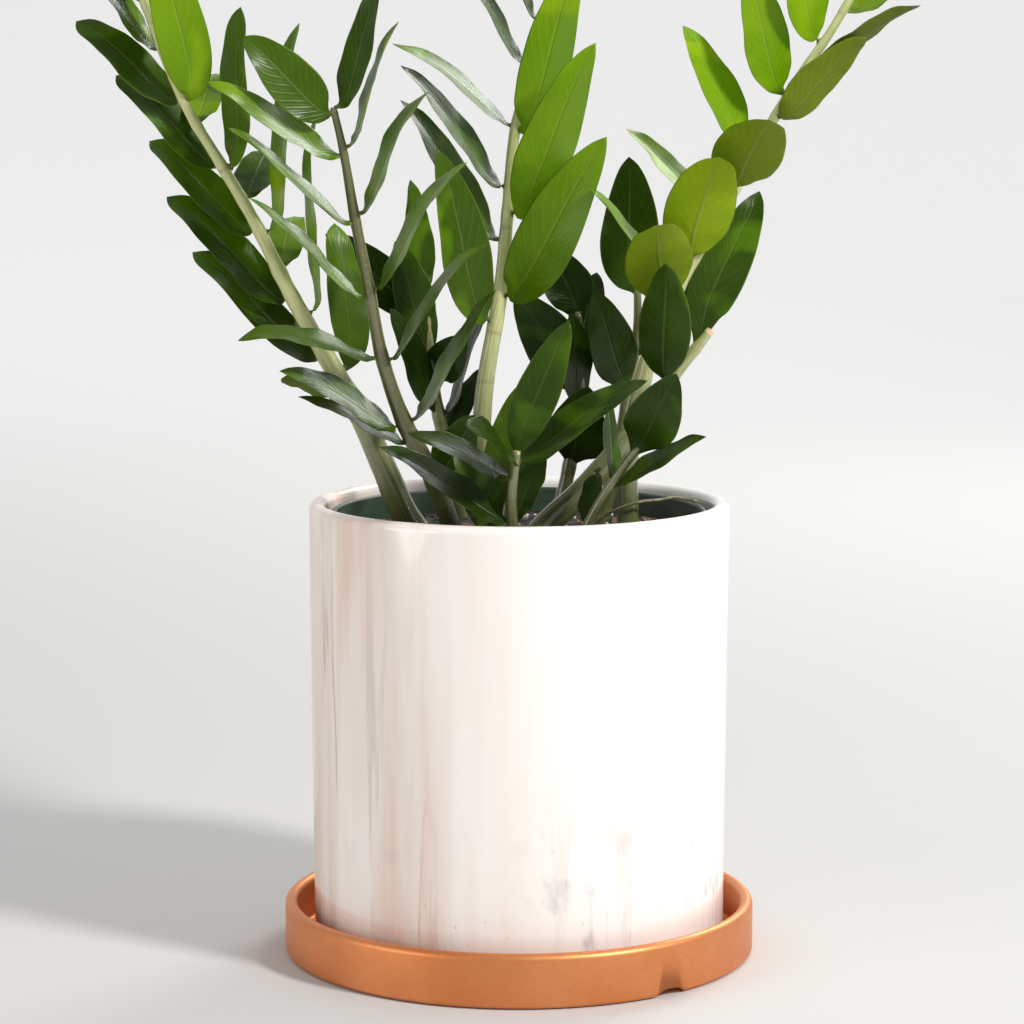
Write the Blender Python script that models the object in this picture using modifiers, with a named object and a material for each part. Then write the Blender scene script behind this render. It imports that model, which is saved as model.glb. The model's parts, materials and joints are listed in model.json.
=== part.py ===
"""Potted zz plant: eleven fronds rooted in soil, in a nursery pot, in a glazed planter on a copper saucer.

The saucer's underside is at z = 0, on the planter's axis, and the front of the plant faces -Y.
"""

import math
from collections import namedtuple

import bmesh
import bpy
from mathutils import Matrix, Quaternion, Vector

MM = 0.001  # metres in a millimetre
GAP = 0.3 * MM  # clearance between pieces that touch
TURN_STEPS = 48  # facets round a turned piece
WELD = 0.00001  # merge distance of a turned piece

# Planter
PLANTER_RADIUS = 89 * MM
PLANTER_TAPER = 1.3 * MM  # how much narrower it is at its foot
PLANTER_HEIGHT = 188.2 * MM
PLANTER_WALL = 6.8 * MM
PLANTER_FLOOR = 6 * MM
PLANTER_DRAIN_RADIUS = 9 * MM
PLANTER_FOOT_ROUND = 3 * MM

# Saucer
SAUCER_GUTTER = 7.4 * MM  # clear ring between the planter's foot and the saucer's wall
SAUCER_WALL = 5.3 * MM
SAUCER_HEIGHT = 22.7 * MM
SAUCER_FLOOR = 5 * MM
SAUCER_FOOT_INSET = 1.6 * MM
SAUCER_FOOT_HEIGHT = 2 * MM
SAUCER_FILLET = 2 * MM  # where its floor meets its wall
NOTCH_WIDTH = 16 * MM
NOTCH_HEIGHT = 3.2 * MM
NOTCH_DEPTH = 7 * MM
NOTCH_ANGLE = math.radians(-52)

# Nursery pot
POT_RIM_CLEARANCE = 2.6 * MM  # between its rim and the planter's wall
POT_RIM_DROP = 4 * MM  # its rim below the planter's
POT_RIM_WIDTH = 2.4 * MM
POT_RIM_DEPTH = 9 * MM
POT_WALL = 1 * MM
POT_TAPER = 15 * MM
POT_HOLES = 6
POT_HOLE_RADIUS = 5 * MM
POT_HOLE_PLACE = 0.7  # of the floor's radius

# Soil
SOIL_DROP = 10 * MM  # its edge below the nursery pot's rim
SOIL_CROWN = 1.5 * MM  # its middle above its edge
SOIL_SHOULDER = 0.7  # of its radius, where it is half way down from its middle to its edge
SOIL_DESIGN_RADIUS = 77 * MM  # the soil's radius that the fronds are laid out for

# Fronds
STEM_SIDES_RESOLUTION = 3
STEM_STEPS = 3  # lengths of tube between two chosen points
STEM_BURIED = 24 * MM
SOCKET_TOP = 15 * MM
BLADE_THICKNESS = 1 * MM
BLADE_STATIONS = (0.05, 0.16, 0.32, 0.5, 0.68, 0.84, 0.94)
BLADE_OUTLINE_SKEW = 1.0
BLADE_OUTLINE_POWER = 0.85
BLADE_THINNING = 0.5  # how much thinner it is at its tip
NECK_WIDTH = 2.8 * MM
NECK_THICKNESS = 1.8 * MM
NECK_SHARE = 0.7  # of the stem's radius, where the stem is thinner than the neck
ROOT_LEAD = 0.14  # of the length, the way a leaflet first heads away from its stem
TIP_LEAD = 0.4
FOLD = 0.2  # rise of a blade's edge over its midrib, for its half width
SINK = 1 * MM  # how far a leaflet that is joined to its stem runs into it

# A stem's points are across, back, height over the soil and radius, all in millimetres.
# A leaflet has its height on the stem, its reach from base to tip, its width, its turn and its bow.
# At a turn of 0 degrees the blade faces the front, and at 90 it faces up. Bow bends the tip down.
Leaflet = namedtuple("Leaflet", "height reach width turn bow")
Frond = namedtuple("Frond", "name stem leaflets joined")

FRONDS = (
    Frond(
        "left",
        (
            (-44, -8, 0, 6.4),
            (-49, -10, 10, 6.0),
            (-56, -12, 27, 5.4),
            (-66, -15, 50, 4.6),
            (-79, -18, 74, 3.8),
            (-95, -20, 103, 3.1),
            (-109, -22, 132, 2.6),
            (-122, -25, 155, 2.3),
            (-137, -27, 181, 2.0),
            (-149, -29, 212, 1.8),
            (-158, -30, 240, 1.6),
            (-164, -31, 268, 1.3),
        ),
        (
            Leaflet(77, (-56, 11, 42), 19, 44, 0.3),
            Leaflet(101, (-53, 11, 41), 19, 44, 0.3),
            Leaflet(129, (-46, 11, 36), 19, 44, 0.3),
            Leaflet(156, (-44, 11, 36), 19, 46, 0.3),
            Leaflet(182, (-45, 11, 32), 19, 44, 0.3),
            Leaflet(203, (-33, 6, 34), 18, 68, 0.2),
            Leaflet(182, (-8, -20, 68), 21, 10, 0.1),
            Leaflet(154, (9, -18, 65), 18, 44, 0.1),
            Leaflet(127, (17, -8, 86), 19, 64, 0.2),
            Leaflet(93, (6, -4, 82), 17, 72, 0.2),
            Leaflet(69, (-1, 12, 62), 18, 30, 0.2),
            Leaflet(141, (8, 37, 20), 18, 20, 0.2),
        ),
        (
            Leaflet(62, (-26, -14, 6), 14, 130, 0.2),
            Leaflet(113, (4, 38, 20), 18, 20, 0.2),
            Leaflet(173, (5, 36, 20), 17, 20, 0.2),
            Leaflet(152, (4, 20, 56), 18, 70, 0.1),
            Leaflet(206, (0, 26, 56), 19, 30, 0.2),
            Leaflet(226, (-35, 10, 34), 20, 46, 0.3),
            Leaflet(230, (20, -12, 54), 20, 40, 0.2),
            Leaflet(246, (-30, 10, 34), 18, 46, 0.3),
            Leaflet(252, (20, -8, 46), 18, 40, 0.2),
            Leaflet(268, (-8, -4, 50), 16, 20, 0.2),
        ),
    ),
    Frond(
        "centre_left",
        (
            (-27, -24, 0, 4.4),
            (-30, -26, 10, 4.1),
            (-37, -29, 30, 3.8),
            (-47, -32, 49, 3.4),
            (-56, -36, 76, 2.8),
            (-61, -40, 104, 2.4),
            (-67, -42, 136, 2.1),
            (-71, -44, 161, 1.7),
            (-75, -45, 179, 1.4),
        ),
        (
            Leaflet(177, (-36, -10, 30), 21, 16, 0.2),
            Leaflet(179, (20, -6, 50), 19, 50, 0.1),
            Leaflet(163, (23, -6, 50), 19, 78, 0.2),
            Leaflet(160, (-54, -14, 29), 19, 60, 0.1),
            Leaflet(136, (30, -4, 49), 19, 70, 0.4),
            Leaflet(133, (-50, -22, 38), 21, 80, 0.1),
            Leaflet(105, (40, -4, 52), 21, 72, 0.4),
            Leaflet(103, (-47, -24, 40), 21, 80, 0.1),
            Leaflet(76, (43, -12, 48), 20, 76, 0.4),
            Leaflet(78, (-57, -24, 8), 22, 74, 0.5),
            Leaflet(50, (38, -6, 55), 21, 74, 0.1),
            Leaflet(50, (-50, -20, 23), 22, 66, 0.3),
        ),
        (
            Leaflet(43, (-47, -4, 18), 19, 76, 0.2),
            Leaflet(28, (18, -12, 26), 18, 0, 0.2),
        ),
    ),
    Frond(
        "centre",
        (
            (-10, -10, 0, 5.0),
            (-12, -10, 10, 4.6),
            (-15, -10, 27, 4.3),
            (-16, -10, 43, 4.1),
            (-14, -8, 66, 3.7),
            (-8, -5, 102, 3.0),
            (-5, -3, 134, 2.6),
            (-2, -1, 168, 2.3),
            (4, 0, 192, 2.1),
            (10, 1, 215, 1.9),
            (16, 2, 244, 1.7),
            (20, 3, 274, 1.4),
            (22, 4, 290, 1.2),
        ),
        (
            Leaflet(101, (44, -22, 66), 26, 14, 0.2),
            Leaflet(135, (36, -24, 70), 24, 18, 0.2),
            Leaflet(170, (27, -8, 72), 22, 18, 0.2),
            Leaflet(90, (-24, -18, 72), 24, 30, 0.1),
            Leaflet(124, (-44, 8, 58), 22, 58, 0.2),
            Leaflet(146, (-45, -10, 50), 21, 66, 0.2),
            Leaflet(171, (-51, -12, 34), 20, 72, 0.3),
            Leaflet(196, (-34, -10, 44), 19, 72, 0.2),
            Leaflet(215, (-28, -8, 46), 19, 74, 0.2),
        ),
        (
            Leaflet(212, (28, -2, 54), 18, 50, 0.2),
            Leaflet(242, (22, 22, 42), 17, 30, 0.2),
            Leaflet(240, (-24, -10, 48), 19, 60, 0.2),
            Leaflet(264, (22, -6, 42), 16, 60, 0.2),
            Leaflet(266, (-20, -8, 44), 17, 50, 0.2),
            Leaflet(290, (4, -8, 50), 17, 20, 0.1),
        ),
    ),
    Frond(
        "right",
        (
            (46, 0, 0, 4.8),
            (46, 0, 10, 4.6),
            (46, 0, 30, 4.4),
            (50, -3, 56, 3.9),
            (58, -6, 86, 3.4),
            (70, -9, 112, 3.0),
            (84, -12, 136, 2.6),
            (98, -15, 162, 2.3),
            (113, -17, 188, 2.0),
            (129, -19, 212, 1.8),
            (143, -21, 238, 1.6),
            (154, -23, 264, 1.3),
        ),
        (
            Leaflet(100, (-9, -46, 32), 29, 180, 0.3),
            Leaflet(117, (8, -38, 42), 29, 176, 0.5),
            Leaflet(147, (10, -46, 27), 29, 170, 0.3),
            Leaflet(176, (35, -18, 31), 20, 142, 0.2),
            Leaflet(197, (44, -14, 23), 20, 112, 0.2),
            Leaflet(162, (-31, -6, 50), 21, 42, 0.1),
            Leaflet(184, (-19, -12, 52), 22, 25, 0.1),
            Leaflet(205, (-14, -12, 56), 21, 25, 0.1),
            Leaflet(219, (42, 8, 22), 19, 60, 0.2),
            Leaflet(104, (-37, -22, 42), 19, 76, 0.1),
            Leaflet(134, (-38, 6, 36), 20, 64, 0.1),
        ),
        (
            Leaflet(232, (-20, -10, 50), 20, 40, 0.2),
            Leaflet(240, (36, -8, 26), 19, 50, 0.3),
            Leaflet(252, (-14, -8, 46), 18, 40, 0.2),
            Leaflet(256, (30, -8, 34), 18, 50, 0.3),
            Leaflet(264, (16, -8, 44), 17, 30, 0.2),
        ),
    ),
    Frond(
        "cut",
        (
            (6, -34, 0, 6.0),
            (12, -31, 8, 5.7),
            (25, -27, 20, 5.2),
            (39, -24, 36, 4.4),
            (50, -21, 50, 3.6),
            (61, -18, 64, 2.9),
            (71, -15, 76, 2.3),
            (80, -13, 87, 1.9),
        ),
        (),
        (
            Leaflet(66, (-3, -24, 50), 22, 170, 0.2),
            Leaflet(86, (22, 17, 58), 22, 10, 0.2),
        ),
    ),
    Frond(
        "front_right",
        (
            (25, -50, 0, 2.4),
            (27, -52, 8, 2.2),
            (33, -54, 20, 2.0),
            (41, -57, 33, 1.7),
            (48, -60, 43, 1.4),
        ),
        (),
        (
            Leaflet(43, (14, -26, 32), 22, 4, 0.4),
            Leaflet(30, (36, -12, 18), 18, 72, 0.1),
            Leaflet(30, (-4, 14, 32), 13, 60, 0.1),
            Leaflet(12, (4, 16, 20), 11, 40, 0.2),
        ),
    ),
    Frond(
        "front",
        (
            (-3, -60, 0, 2.6),
            (-3, -61, 8, 2.4),
            (-3, -63, 24, 2.0),
            (-1, -65, 42, 1.6),
        ),
        (),
        (
            Leaflet(13, (-53, -8, 31), 20, 64, 0.2),
            Leaflet(31, (-42, -20, 20), 19, 68, 0.2),
            Leaflet(39, (-20, -36, 17), 20, 74, 0.3),
            Leaflet(13, (14, 20, 27), 17, 50, 0.1),
            Leaflet(42, (21, 8, 52), 18, 10, 0.1),
            Leaflet(38, (53, 2, 32), 21, 58, 0.3),
        ),
    ),
    Frond(
        "low_centre",
        (
            (-7, -42, 0, 2.6),
            (-7, -42, 6, 2.4),
            (-6, -42, 12, 2.0),
            (-5, -42, 18, 1.7),
        ),
        (),
        (
            Leaflet(18, (8, 6, 50), 24, 10, 0.1),
            Leaflet(8, (-20, -8, 32), 19, 30, 0.3),
        ),
    ),
    Frond(
        "back_left",
        (
            (-24, 42, 0, 4.0),
            (-26, 42, 8, 3.7),
            (-31, 42, 28, 3.2),
            (-36, 41, 52, 2.6),
            (-39, 40, 78, 2.1),
            (-41, 38, 100, 1.6),
        ),
        (),
        (
            Leaflet(100, (-6, 2, 48), 14, 30, 0.2),
            Leaflet(82, (-14, -10, 40), 20, 30, 0.2),
            Leaflet(64, (15, -20, 18), 18, 10, 0.3),
            Leaflet(46, (22, -6, 48), 15, 72, 0.1),
            Leaflet(92, (-43, -8, 33), 21, 20, 0.2),
            Leaflet(52, (-19, -24, 42), 17, 45, 0.1),
            Leaflet(38, (18, 8, 28), 13, 40, 0.2),
        ),
    ),
    Frond(
        "back_centre",
        (
            (16, 30, 0, 3.6),
            (18, 30, 8, 3.3),
            (22, 30, 26, 2.8),
            (26, 28, 54, 2.3),
            (26, 26, 78, 1.9),
            (25, 25, 92, 1.6),
        ),
        (),
        (
            Leaflet(30, (7, -18, 31), 26, 6, 0.2),
            Leaflet(58, (-4, -10, 34), 18, 40, 0.2),
            Leaflet(66, (-28, -6, 34), 24, 12, 0.2),
            Leaflet(80, (8, 16, 28), 16, 20, 0.2),
            Leaflet(92, (-12, 4, 27), 22, 16, 0.2),
        ),
    ),
    Frond(
        "back_right",
        (
            (36, 38, 0, 3.8),
            (38, 38, 8, 3.5),
            (43, 37, 30, 3.0),
            (48, 35, 60, 2.4),
            (51, 32, 84, 1.9),
            (51, 30, 102, 1.6),
        ),
        (),
        (
            Leaflet(102, (-4, -4, 56), 26, 10, 0.1),
            Leaflet(62, (-17, -26, 40), 21, 10, 0.2),
            Leaflet(54, (-11, 18, 30), 14, 45, 0.1),
            Leaflet(80, (26, -12, 30), 18, 20, 0.2),
        ),
    ),
)

# A dry leaf stalk that leans from the soil to the nursery pot's rim, as across, back and height.
STALK_ROUTE = ((29, 6, -8), (32, 2, 3), (40, -6, 10), (50, -9, 14), (60, 0, 14), (68, 16, 13))
STALK_RADIUS = 0.6 * MM

# Colours, with their roughness and metallic values.
GLAZE = ((0.85, 0.82, 0.79), 0.25, 0.0)
COPPER = ((0.62, 0.30, 0.16), 0.38, 0.9)
POT_GREEN = ((0.05, 0.08, 0.06), 0.5, 0.0)
PEAT = ((0.04, 0.028, 0.02), 0.95, 0.0)
STEM_GREEN = ((0.24, 0.30, 0.10), 0.4, 0.0)
LEAF_GREEN = ((0.035, 0.14, 0.015), 0.3, 0.0)
DRY_BROWN = ((0.30, 0.26, 0.14), 0.7, 0.0)

# Places worked out from the sizes above
PLANTER_BASE = SAUCER_FLOOR + GAP
PLANTER_TOP = PLANTER_BASE + PLANTER_HEIGHT
PLANTER_FOOT_RADIUS = PLANTER_RADIUS - PLANTER_TAPER
SAUCER_RADIUS = PLANTER_FOOT_RADIUS + SAUCER_GUTTER + SAUCER_WALL
POT_BASE = PLANTER_BASE + PLANTER_FLOOR + GAP
POT_TOP = PLANTER_TOP - POT_RIM_DROP
POT_RIM_RADIUS = PLANTER_RADIUS - PLANTER_WALL - POT_RIM_CLEARANCE
POT_RADIUS = POT_RIM_RADIUS - POT_RIM_WIDTH + POT_WALL
POT_FOOT_RADIUS = POT_RADIUS - POT_TAPER
SOIL_TOP = POT_TOP - SOIL_DROP


def link(obj, collection):
    collection.objects.link(obj)
    return obj


def material(name, finish):
    colour, roughness, metallic = finish
    made = bpy.data.materials.new(name)
    made.use_nodes = True
    shader = made.node_tree.nodes["Principled BSDF"]
    shader.inputs["Base Color"].default_value = (*colour, 1)
    shader.inputs["Roughness"].default_value = roughness
    shader.inputs["Metallic"].default_value = metallic
    made.diffuse_color = (*colour, 1)
    return made


def arc(centre_x, centre_z, radius, start, end, steps):
    """Points of an arc in a turned profile, from one angle in degrees to the other."""
    angles = [math.radians(start + (end - start) * i / steps) for i in range(steps + 1)]
    return [(centre_x + radius * math.cos(a), centre_z + radius * math.sin(a)) for a in angles]


def turned(name, profile, closed, finish, collection):
    """A profile of (radius, height) points, turned round the Z axis."""
    mesh = bpy.data.meshes.new(name)
    edges = [(i, i + 1) for i in range(len(profile) - 1)]
    if closed:
        edges.append((len(profile) - 1, 0))
    mesh.from_pydata([(r, 0, z) for r, z in profile], edges, [])
    obj = link(bpy.data.objects.new(name, mesh), collection)
    obj.data.materials.append(material(name, finish))
    screw = obj.modifiers.new("Turn", "SCREW")
    screw.steps = screw.render_steps = TURN_STEPS
    screw.use_merge_vertices = True
    screw.merge_threshold = WELD
    screw.use_smooth_shade = True
    return obj


def cutter(name, mesh, collection):
    obj = link(bpy.data.objects.new(name, mesh), collection)
    obj.hide_render = True
    obj.display_type = "WIRE"
    return obj


def boolean(obj, other, operation):
    modifier = obj.modifiers.new(other.name, "BOOLEAN")
    modifier.operation = operation
    modifier.solver = "EXACT"
    modifier.object = other


def make_saucer(parts, cutters):
    inner = SAUCER_RADIUS - SAUCER_WALL
    lip = SAUCER_WALL / 2
    profile = [(0, SAUCER_FLOOR), (inner - SAUCER_FILLET, SAUCER_FLOOR)]
    profile.append((inner, SAUCER_FLOOR + SAUCER_FILLET))
    profile += arc(SAUCER_RADIUS - lip, SAUCER_HEIGHT - lip, lip, 180, 0, 6)
    profile += [(SAUCER_RADIUS, SAUCER_FOOT_HEIGHT), (SAUCER_RADIUS - SAUCER_FOOT_INSET, 0), (0, 0)]
    saucer = turned("saucer", profile, False, COPPER, parts)
    bm = bmesh.new()
    bmesh.ops.create_cone(
        bm, cap_ends=True, segments=20, radius1=1, radius2=1, depth=2 * NOTCH_DEPTH,
        matrix=Matrix.Rotation(math.radians(90), 4, "Y"),
    )
    bmesh.ops.scale(bm, vec=(1, NOTCH_WIDTH / 2, NOTCH_HEIGHT), verts=bm.verts)
    mesh = bpy.data.meshes.new("saucer_notch")
    bm.to_mesh(mesh)
    bm.free()
    notch = cutter("saucer_notch", mesh, cutters)
    notch.location = SAUCER_RADIUS * math.cos(NOTCH_ANGLE), SAUCER_RADIUS * math.sin(NOTCH_ANGLE), 0
    notch.rotation_euler.z = NOTCH_ANGLE
    boolean(saucer, notch, "DIFFERENCE")


def make_planter(parts):
    lip = PLANTER_WALL / 2
    foot_inner = PLANTER_FOOT_RADIUS - PLANTER_WALL
    rounding = PLANTER_FOOT_ROUND
    floor = PLANTER_BASE + PLANTER_FLOOR
    profile = [(PLANTER_DRAIN_RADIUS, floor), (foot_inner - rounding, floor)]
    profile.append((foot_inner, floor + rounding))
    profile += arc(PLANTER_RADIUS - lip, PLANTER_TOP - lip, lip, 180, 0, 6)
    profile += arc(PLANTER_FOOT_RADIUS - rounding, PLANTER_BASE + rounding, rounding, 0, -90, 3)
    profile += [(PLANTER_DRAIN_RADIUS, PLANTER_BASE)]
    turned("planter", profile, True, GLAZE, parts)


def make_nursery_pot(parts, cutters):
    inner, foot_inner = POT_RADIUS - POT_WALL, POT_FOOT_RADIUS - POT_WALL
    floor = POT_BASE + POT_WALL
    roll = POT_RIM_WIDTH / 2
    skirt = POT_TOP - POT_RIM_DEPTH
    profile = [(0, floor), (foot_inner, floor), (inner, skirt)]
    profile += arc(POT_RIM_RADIUS - roll, POT_TOP - roll, roll, 180, 0, 4)
    profile += [(POT_RIM_RADIUS, skirt), (POT_RADIUS, skirt), (POT_FOOT_RADIUS, POT_BASE), (0, POT_BASE)]
    pot = turned("nursery_pot", profile, False, POT_GREEN, parts)
    for i in range(POT_HOLES):
        angle = math.tau * i / POT_HOLES
        place = POT_HOLE_PLACE * POT_FOOT_RADIUS
        bm = bmesh.new()
        bmesh.ops.create_cone(
            bm, cap_ends=True, segments=12, radius1=POT_HOLE_RADIUS, radius2=POT_HOLE_RADIUS,
            depth=4 * POT_WALL,
        )
        mesh = bpy.data.meshes.new(f"pot_hole_{i + 1}")
        bm.to_mesh(mesh)
        bm.free()
        hole = cutter(f"pot_hole_{i + 1}", mesh, cutters)
        hole.location = place * math.cos(angle), place * math.sin(angle), POT_BASE
        boolean(pot, hole, "DIFFERENCE")


def pot_inner_radius(z):
    """Radius of the nursery pot's inner wall at a height."""
    rise = POT_TOP - POT_RIM_DEPTH - POT_BASE - POT_WALL
    share = (z - POT_BASE - POT_WALL) / rise
    return POT_FOOT_RADIUS - POT_WALL + POT_TAPER * share


def spread():
    """How much wider or narrower the fronds stand than they were laid out, to suit the soil."""
    return (pot_inner_radius(SOIL_TOP) - GAP) / SOIL_DESIGN_RADIUS


def make_soil(parts, sockets):
    floor = POT_BASE + POT_WALL + GAP
    clearance = GAP / math.cos(math.pi / TURN_STEPS)
    profile = [
        (0, SOIL_TOP + SOIL_CROWN),
        (SOIL_SHOULDER * pot_inner_radius(SOIL_TOP), SOIL_TOP + SOIL_CROWN / 2),
        (pot_inner_radius(SOIL_TOP) - clearance, SOIL_TOP),
        (pot_inner_radius(floor) - clearance, floor),
        (0, floor),
    ]
    soil = turned("soil", profile, False, PEAT, parts)
    for socket in sockets:
        boolean(soil, socket, "DIFFERENCE")


def placed(point):
    """A chosen point, in millimetres over the soil, as a place in the model."""
    across, back, height = point[:3]
    wide = spread()
    return Vector((across * MM * wide, back * MM * wide, SOIL_TOP + height * MM))


def smooth_route(points, steps):
    """A smooth curve through chosen points, as (place, radius), with some steps between two of them."""
    route = []
    for i in range(len(points) - 1):
        around = [points[max(0, min(len(points) - 1, i + k))] for k in (-1, 0, 1, 2)]
        (p0, r0), (p1, r1), (p2, r2), (p3, r3) = around
        for step in range(steps):
            t = step / steps
            place = 0.5 * (
                2 * p1 + (p2 - p0) * t + (2 * p0 - 5 * p1 + 4 * p2 - p3) * t ** 2
                + (3 * p1 - p0 - 3 * p2 + p3) * t ** 3
            )
            route.append((place, r1 + (r2 - r1) * t))
    route.append(points[-1])
    return route


def stem_route(stem):
    """The stem's route, from its buried foot to its top."""
    points = [(placed(point), point[3] * MM) for point in stem]
    foot, radius = points[0]
    buried = [(foot - Vector((0, 0, STEM_BURIED)), radius)]
    return smooth_route(buried + points, STEM_STEPS)


def tube(name, route, grow=0.0):
    """A tube along a route, as a mesh made from a curve with filled caps."""
    curve = bpy.data.curves.new(name, "CURVE")
    curve.dimensions = "3D"
    curve.bevel_depth = 1.0
    curve.bevel_resolution = STEM_SIDES_RESOLUTION
    curve.use_fill_caps = True
    spline = curve.splines.new("POLY")
    spline.points.add(len(route) - 1)
    for point, (place, radius) in zip(spline.points, route):
        point.co = (*place, 1)
        point.radius = radius + grow
    carrier = bpy.data.objects.new(name, curve)
    bpy.context.scene.collection.objects.link(carrier)
    evaluated = carrier.evaluated_get(bpy.context.evaluated_depsgraph_get())
    mesh = bpy.data.meshes.new_from_object(evaluated)
    bpy.data.objects.remove(carrier)
    bpy.data.curves.remove(curve)
    mesh.name = name
    bm = bmesh.new()
    bm.from_mesh(mesh)
    bmesh.ops.remove_doubles(bm, verts=bm.verts, dist=WELD)
    bmesh.ops.recalc_face_normals(bm, faces=bm.faces)
    bm.to_mesh(mesh)
    bm.free()
    return mesh


def socket(name, route, cutters):
    """A cutter for the hollow in the soil that a buried stem or stalk fills."""
    foot, radius = route[0]
    low = [(foot - Vector((0, 0, GAP)), radius)]
    near = [item for item in route if item[0].z < SOIL_TOP + SOCKET_TOP]
    return cutter(name, tube(name, low + near[1:], GAP), cutters)


def on_stem(route, height):
    """Place, direction and radius of a stem at a height over the soil in millimetres."""
    z = SOIL_TOP + height * MM
    for (low, low_radius), (high, high_radius) in zip(route, route[1:]):
        if z <= high.z:
            share = (z - low.z) / (high.z - low.z)
            radius = low_radius + (high_radius - low_radius) * share
            return low.lerp(high, share), (high - low).normalized(), radius
    (before, _), (end, radius) = route[-2:]
    return end, (end - before).normalized(), radius


def facing(reach, turn):
    """The way a blade's upper side faces: to the front, turned up by some degrees."""
    along = reach.normalized()
    front = Vector((0, -1, 0))
    front = (front - along * front.dot(along)).normalized()
    side = 1 if reach.x < 0 else -1
    return Quaternion(along, side * math.radians(turn)) @ front


def outline(t):
    """Half width of a blade along its length, as a share of the widest."""
    return math.sin(math.pi * t ** BLADE_OUTLINE_SKEW) ** BLADE_OUTLINE_POWER


def cubic(points, t):
    """Place and direction along a cubic Bezier curve."""
    a, b, c, d = points
    s = 1 - t
    place = a * s ** 3 + b * 3 * s * s * t + c * 3 * s * t * t + d * t ** 3
    along = (b - a) * s * s + (c - b) * 2 * s * t + (d - c) * t * t
    return place, along.normalized()


def add_leaflet(bm, route, leaflet, joined):
    """A closed blade that leaves the stem at its own height, with its neck on or in the stem."""
    wide = spread()
    reach = Vector((leaflet.reach[0] * wide, leaflet.reach[1] * wide, leaflet.reach[2])) * MM
    place, stem_along, radius = on_stem(route, leaflet.height)
    terminal = leaflet.height * MM + SOIL_TOP >= route[-1][0].z
    if terminal:
        away, seat = stem_along, 0
    else:
        away = (reach - stem_along * reach.dot(stem_along)).normalized()
        seat = radius
    base = place + away * (seat - SINK if joined else seat + GAP)
    tip = place + reach
    up = facing(reach, leaflet.turn)
    length = reach.length
    last_way = (reach.normalized() - up * leaflet.bow).normalized()
    midrib = (base, base + away * length * ROOT_LEAD, tip - last_way * length * TIP_LEAD, tip)
    neck = min(NECK_WIDTH / 2, NECK_SHARE * radius)
    depth = min(NECK_THICKNESS / 2, NECK_SHARE * radius)
    rows = []
    for t in (0, *BLADE_STATIONS):
        centre, along = cubic(midrib, t)
        normal = (up - along * up.dot(along)).normalized()
        side = along.cross(normal)
        half = max(neck, leaflet.width * MM / 2 * outline(t))
        thick = depth if t == 0 else BLADE_THICKNESS / 2 * (1 - BLADE_THINNING * t)
        lift = normal * FOLD * (half - neck)
        corners = (centre - side * half + lift, centre + normal * thick,
                   centre + side * half + lift, centre - normal * thick)
        rows.append([bm.verts.new(corner) for corner in corners])
    for low, high in zip(rows, rows[1:]):
        for i in range(4):
            bm.faces.new((low[i], low[i - 1], high[i - 1], high[i]))
    bm.faces.new(rows[0])
    end = bm.verts.new(tip)
    for i in range(4):
        bm.faces.new((rows[-1][i], rows[-1][i - 1], end))


def leaflet_mesh(name, route, leaflets, joined):
    bm = bmesh.new()
    for leaflet in leaflets:
        add_leaflet(bm, route, leaflet, joined)
    bmesh.ops.recalc_face_normals(bm, faces=bm.faces)
    mesh = bpy.data.meshes.new(name)
    bm.to_mesh(mesh)
    bm.free()
    return mesh


def make_frond(frond, parts, cutters):
    """One frond: its stem with the leaflets joined to it, and its separate leaflets."""
    route = stem_route(frond.stem)
    name = f"{frond.name}_stem"
    stem = link(bpy.data.objects.new(name, tube(name, route)), parts)
    stem.data.materials.append(material(name, STEM_GREEN))
    if frond.joined:
        crown = f"{frond.name}_crown"
        mesh = leaflet_mesh(crown, route, frond.joined, True)
        boolean(stem, cutter(crown, mesh, cutters), "UNION")
    for number, leaflet in enumerate(frond.leaflets, 1):
        name = f"{frond.name}_leaflet_{number:02d}"
        obj = link(bpy.data.objects.new(name, leaflet_mesh(name, route, [leaflet], False)), parts)
        obj.data.materials.append(material(name, LEAF_GREEN))
    return socket(f"{frond.name}_socket", route, cutters)


def make_stalk(parts, cutters):
    points = [(placed(point), STALK_RADIUS) for point in STALK_ROUTE]
    edge = points[-1][0].xy.normalized() * (POT_RIM_RADIUS - POT_RIM_WIDTH / 2)
    over_rim = POT_TOP + STALK_RADIUS + GAP
    points.append((Vector((*edge, over_rim)), STALK_RADIUS))
    route = smooth_route(points, STEM_STEPS)
    stalk = link(bpy.data.objects.new("dry_stalk", tube("dry_stalk", route)), parts)
    stalk.data.materials.append(material("dry_stalk", DRY_BROWN))
    return socket("dry_stalk_socket", route, cutters)


def main():
    for obj in list(bpy.data.objects):
        bpy.data.objects.remove(obj)
    parts = bpy.data.collections.new("potted_zz_plant")
    cutters = bpy.data.collections.new("cutters")
    for collection in (parts, cutters):
        bpy.context.scene.collection.children.link(collection)
    make_saucer(parts, cutters)
    make_planter(parts)
    make_nursery_pot(parts, cutters)
    sockets = [make_frond(frond, parts, cutters) for frond in FRONDS]
    sockets.append(make_stalk(parts, cutters))
    make_soil(parts, sockets)


main()
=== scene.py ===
# %% [markdown]
# # A potted zz plant
# This lesson dresses a packed CAD model of a zz plant: waxy fronds in a dark nursery pot, which stands
# in a glazed planter on a copper saucer. The CAD model fixes every size and place. Each piece here is
# made again with a finer skin in the same place, because a leaf's gloss shows every facet.

import json
import math
import random

import bmesh
import bpy
from mathutils import Matrix, Vector, noise

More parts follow.
